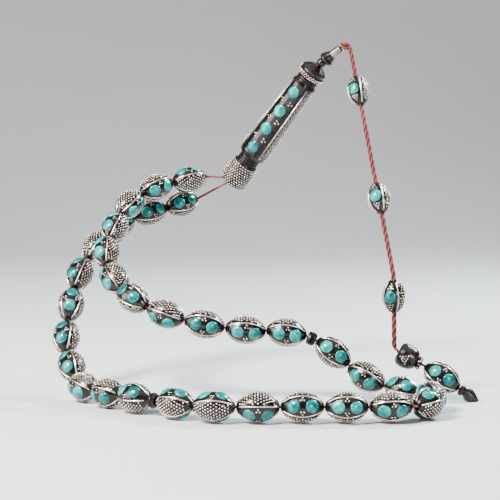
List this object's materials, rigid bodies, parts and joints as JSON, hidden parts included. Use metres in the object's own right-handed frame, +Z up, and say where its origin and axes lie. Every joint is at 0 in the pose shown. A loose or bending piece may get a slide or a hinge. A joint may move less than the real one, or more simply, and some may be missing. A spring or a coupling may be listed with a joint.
{
  "type": "misbaha prayer beads",
  "caption": "Misbaha prayer beads: dark olive beads inlaid with silver and turquoise on one cord, with marker beads, a long head bead and a beaded tassel, draped as over a support.",
  "frame": {"origin": "crown of the support that the beads are draped over, right under the head bead", "axes": "+Z up, -Y towards the front, where the strand lies lowest, +X to the right, where the tassel hangs"},
  "size_m": [0.1408, 0.1161, 0.1185],
  "materials": {
    "black_coral": "gloss",
    "dark_horn": "satin",
    "silver": "polished",
    "turquoise": "gloss",
    "cord": "matte"
  },
  "bodies": {
    "strand": {"strand_cord": "cord", "top_knot": "cord"},
    "bead_a01_turns": {"bead_a01": "black_coral"},
    "bead_a02_turns": {"bead_a02": "black_coral"},
    "bead_a03_turns": {"bead_a03": "black_coral"},
    "bead_a04_turns": {"bead_a04": "black_coral"},
    "bead_a05_turns": {"bead_a05": "black_coral"},
    "bead_a06_turns": {"bead_a06": "black_coral"},
    "bead_a07_turns": {"bead_a07": "black_coral"},
    "bead_a08_turns": {"bead_a08": "black_coral"},
    "bead_a09_turns": {"bead_a09": "black_coral"},
    "bead_a10_turns": {"bead_a10": "black_coral"},
    "bead_a11_turns": {"bead_a11": "black_coral"},
    "bead_b01_turns": {"bead_b01": "black_coral"},
    "bead_b02_turns": {"bead_b02": "black_coral"},
    "bead_b03_turns": {"bead_b03": "black_coral"},
    "bead_b04_turns": {"bead_b04": "black_coral"},
    "bead_b05_turns": {"bead_b05": "black_coral"},
    "bead_b06_turns": {"bead_b06": "black_coral"},
    "bead_b07_turns": {"bead_b07": "black_coral"},
    "bead_b08_turns": {"bead_b08": "black_coral"},
    "bead_b09_turns": {"bead_b09": "black_coral"},
    "bead_b10_turns": {"bead_b10": "black_coral"},
    "bead_b11_turns": {"bead_b11": "black_coral"},
    "bead_c01_turns": {"bead_c01": "black_coral"},
    "bead_c02_turns": {"bead_c02": "black_coral"},
    "bead_c03_turns": {"bead_c03": "black_coral"},
    "bead_c04_turns": {"bead_c04": "black_coral"},
    "bead_c05_turns": {"bead_c05": "black_coral"},
    "bead_c06_turns": {"bead_c06": "black_coral"},
    "bead_c07_turns": {"bead_c07": "black_coral"},
    "bead_c08_turns": {"bead_c08": "black_coral"},
    "bead_c09_turns": {"bead_c09": "black_coral"},
    "bead_c10_turns": {"bead_c10": "black_coral"},
    "bead_c11_turns": {"bead_c11": "black_coral"},
    "marker_1_turns": {"marker_1": "dark_horn"},
    "marker_2_turns": {"marker_2": "dark_horn"},
    "head": {"head_base": "black_coral", "head_body": "black_coral", "head_wires": "silver", "head_stones": "turquoise", "head_collar": "black_coral", "head_cap": "dark_horn"},
    "finial": {"head_finial": "dark_horn", "head_tube": "silver"},
    "tassel": {"tassel_cord": "cord", "tail_cord": "cord", "tail_disc": "dark_horn", "tail_point": "dark_horn"},
    "tassel_bead_1_slides": {"tassel_bead_1": "black_coral"},
    "tassel_bead_2_slides": {"tassel_bead_2": "black_coral"},
    "tassel_bead_3_slides": {"tassel_bead_3": "black_coral"},
    "acorn": {"tail_acorn": "black_coral"},
    "tail": {"tail_bead": "black_coral"}
  },
  "joints": [
    {"name": "bead_a01_spin", "type": "hinge", "parent": "strand", "child": "bead_a01_turns", "pos_m": [-0.01899, 0.006, -0.0075], "axis": [-0.83, -0.5055, -0.2358], "continuous": true},
    {"name": "bead_a02_spin", "type": "hinge", "parent": "strand", "child": "bead_a02_turns", "pos_m": [-0.03027, -0.00062, -0.01038], "axis": [-0.8414, -0.4949, -0.2172], "continuous": true},
    {"name": "bead_a03_spin", "type": "hinge", "parent": "strand", "child": "bead_a03_turns", "pos_m": [-0.04078, -0.00783, -0.01438], "axis": [-0.6793, -0.5985, -0.4247], "continuous": true},
    {"name": "bead_a04_spin", "type": "hinge", "parent": "strand", "child": "bead_a04_turns", "pos_m": [-0.04821, -0.01633, -0.02151], "axis": [-0.45, -0.6549, -0.6071], "continuous": true},
    {"name": "bead_a05_spin", "type": "hinge", "parent": "strand", "child": "bead_a05_turns", "pos_m": [-0.05306, -0.02523, -0.03024], "axis": [-0.2702, -0.6691, -0.6923], "continuous": true},
    {"name": "bead_a06_spin", "type": "hinge", "parent": "strand", "child": "bead_a06_turns", "pos_m": [-0.05535, -0.03407, -0.04002], "axis": [-0.0966, -0.6544, -0.7499], "continuous": true},
    {"name": "bead_a07_spin", "type": "hinge", "parent": "strand", "child": "bead_a07_turns", "pos_m": [-0.05596, -0.04299, -0.04999], "axis": [0.0239, -0.6956, -0.718], "continuous": true},
    {"name": "bead_a08_spin", "type": "hinge", "parent": "strand", "child": "bead_a08_turns", "pos_m": [-0.05302, -0.05284, -0.05838], "axis": [0.3017, -0.7916, -0.5313], "continuous": true},
    {"name": "bead_a09_spin", "type": "hinge", "parent": "strand", "child": "bead_a09_turns", "pos_m": [-0.048, -0.06392, -0.06345], "axis": [0.5784, -0.8045, -0.1351], "continuous": true},
    {"name": "bead_a10_spin", "type": "hinge", "parent": "strand", "child": "bead_a10_turns", "pos_m": [-0.03936, -0.07414, -0.06377], "axis": [0.6713, -0.7409, 0.0197], "continuous": true},
    {"name": "bead_a11_spin", "type": "hinge", "parent": "strand", "child": "bead_a11_turns", "pos_m": [-0.03011, -0.08382, -0.06346], "axis": [0.7207, -0.6932, 0.008], "continuous": true},
    {"name": "bead_b01_spin", "type": "hinge", "parent": "strand", "child": "bead_b01_turns", "pos_m": [-0.01683, -0.09405, -0.06346], "axis": [0.8284, -0.5601, 0], "continuous": true},
    {"name": "bead_b02_spin", "type": "hinge", "parent": "strand", "child": "bead_b02_turns", "pos_m": [-0.00497, -0.09994, -0.06346], "axis": [0.9841, -0.1776, 0], "continuous": true},
    {"name": "bead_b03_spin", "type": "hinge", "parent": "strand", "child": "bead_b03_turns", "pos_m": [0.0084, -0.10058, -0.06346], "axis": [1, 0.0049, 0], "continuous": true},
    {"name": "bead_b04_spin", "type": "hinge", "parent": "strand", "child": "bead_b04_turns", "pos_m": [0.0218, -0.10044, -0.06346], "axis": [1, -0.001, 0], "continuous": true},
    {"name": "bead_b05_spin", "type": "hinge", "parent": "strand", "child": "bead_b05_turns", "pos_m": [0.03519, -0.10053, -0.06346], "axis": [1, 0.0033, 0], "continuous": true},
    {"name": "bead_b06_spin", "type": "hinge", "parent": "strand", "child": "bead_b06_turns", "pos_m": [0.04857, -0.09984, -0.06346], "axis": [0.9897, 0.1428, 0], "continuous": true},
    {"name": "bead_b07_spin", "type": "hinge", "parent": "strand", "child": "bead_b07_turns", "pos_m": [0.06035, -0.09439, -0.06346], "axis": [0.5915, 0.8063, 0], "continuous": true},
    {"name": "bead_b08_spin", "type": "hinge", "parent": "strand", "child": "bead_b08_turns", "pos_m": [0.06285, -0.08157, -0.06347], "axis": [-0.2489, 0.9684, -0.0166], "continuous": true},
    {"name": "bead_b09_spin", "type": "hinge", "parent": "strand", "child": "bead_b09_turns", "pos_m": [0.05498, -0.07097, -0.06346], "axis": [-0.7678, 0.6302, 0.1153], "continuous": true},
    {"name": "bead_b10_spin", "type": "hinge", "parent": "strand", "child": "bead_b10_turns", "pos_m": [0.0436, -0.06501, -0.06002], "axis": [-0.8431, 0.328, 0.4261], "continuous": true},
    {"name": "bead_b11_spin", "type": "hinge", "parent": "strand", "child": "bead_b11_turns", "pos_m": [0.03301, -0.06197, -0.05249], "axis": [-0.8016, 0.1086, 0.5879], "continuous": true},
    {"name": "bead_c01_spin", "type": "hinge", "parent": "strand", "child": "bead_c01_turns", "pos_m": [0.01784, -0.06197, -0.04595], "axis": [-0.9906, -0.0455, 0.1294], "continuous": true},
    {"name": "bead_c02_spin", "type": "hinge", "parent": "strand", "child": "bead_c02_turns", "pos_m": [0.00453, -0.06299, -0.04492], "axis": [-0.9923, -0.0678, 0.1038], "continuous": true},
    {"name": "bead_c03_spin", "type": "hinge", "parent": "strand", "child": "bead_c03_turns", "pos_m": [-0.00872, -0.06347, -0.04302], "axis": [-0.9819, 0.0579, 0.1802], "continuous": true},
    {"name": "bead_c04_spin", "type": "hinge", "parent": "strand", "child": "bead_c04_turns", "pos_m": [-0.02147, -0.06096, -0.03998], "axis": [-0.9043, 0.318, 0.2846], "continuous": true},
    {"name": "bead_c05_spin", "type": "hinge", "parent": "strand", "child": "bead_c05_turns", "pos_m": [-0.03249, -0.05496, -0.03547], "axis": [-0.6894, 0.62, 0.3746], "continuous": true},
    {"name": "bead_c06_spin", "type": "hinge", "parent": "strand", "child": "bead_c06_turns", "pos_m": [-0.03946, -0.045, -0.03], "axis": [-0.3991, 0.7619, 0.51], "continuous": true},
    {"name": "bead_c07_spin", "type": "hinge", "parent": "strand", "child": "bead_c07_turns", "pos_m": [-0.04297, -0.03496, -0.02197], "axis": [-0.0514, 0.793, 0.6071], "continuous": true},
    {"name": "bead_c08_spin", "type": "hinge", "parent": "strand", "child": "bead_c08_turns", "pos_m": [-0.0409, -0.02424, -0.01431], "axis": [0.2431, 0.7801, 0.5765], "continuous": true},
    {"name": "bead_c09_spin", "type": "hinge", "parent": "strand", "child": "bead_c09_turns", "pos_m": [-0.0366, -0.01418, -0.00664], "axis": [0.4941, 0.6981, 0.5182], "continuous": true},
    {"name": "bead_c10_spin", "type": "hinge", "parent": "strand", "child": "bead_c10_turns", "pos_m": [-0.02762, -0.00609, -0.00106], "axis": [0.7968, 0.5255, 0.2983], "continuous": true},
    {"name": "bead_c11_spin", "type": "hinge", "parent": "strand", "child": "bead_c11_turns", "pos_m": [-0.01599, 0, 0.0015], "axis": [0.8851, 0.4355, 0.1642], "continuous": true},
    {"name": "marker_1_spin", "type": "hinge", "parent": "strand", "child": "marker_1_turns", "pos_m": [-0.02376, -0.08932, -0.06346], "axis": [0.795, -0.6066, 0], "continuous": true},
    {"name": "marker_2_spin", "type": "hinge", "parent": "strand", "child": "marker_2_turns", "pos_m": [0.02597, -0.06196, -0.04796], "axis": [-0.9131, -0.016, 0.4074], "continuous": true},
    {"name": "finial_spin", "type": "hinge", "parent": "strand", "child": "finial", "pos_m": [0.02957, -0.01812, 0.0418], "axis": [0.7514, -0.3504, 0.5592], "continuous": true},
    {"name": "head_spin", "type": "hinge", "parent": "strand", "child": "head", "pos_m": [-0.0002, 0.0007, 0.001], "axis": [0.5523, -0.3492, 0.757], "continuous": true},
    {"name": "tassel_swing", "type": "hinge", "parent": "strand", "child": "tassel", "pos_m": [0.03859, -0.02232, 0.04851], "axis": [0.5381, -0.8429, 0], "range_deg": [-3, 45]},
    {"name": "tassel_bead_1_slide", "type": "slide", "parent": "tassel", "child": "tassel_bead_1_slides", "axis": [0.1481, -0.4088, -0.9005], "range_m": [-0.008, 0.013]},
    {"name": "tassel_bead_2_slide", "type": "slide", "parent": "tassel", "child": "tassel_bead_2_slides", "axis": [0.1481, -0.4088, -0.9005], "range_m": [-0.014, 0.01]},
    {"name": "tassel_bead_3_slide", "type": "slide", "parent": "tassel", "child": "tassel_bead_3_slides", "axis": [0.0129, 0, -0.9999], "range_m": [0, 0.0105]},
    {"name": "tail_acorn_spin", "type": "hinge", "parent": "tassel", "child": "acorn", "pos_m": [0.05851, -0.05744, -0.05499], "axis": [0.8746, -0.17, -0.454], "continuous": true},
    {"name": "tail_bead_spin", "type": "hinge", "parent": "tassel", "child": "tail", "pos_m": [0.06876, -0.06019, -0.06097], "axis": [0.8152, -0.2649, -0.515], "continuous": true}
  ]
}
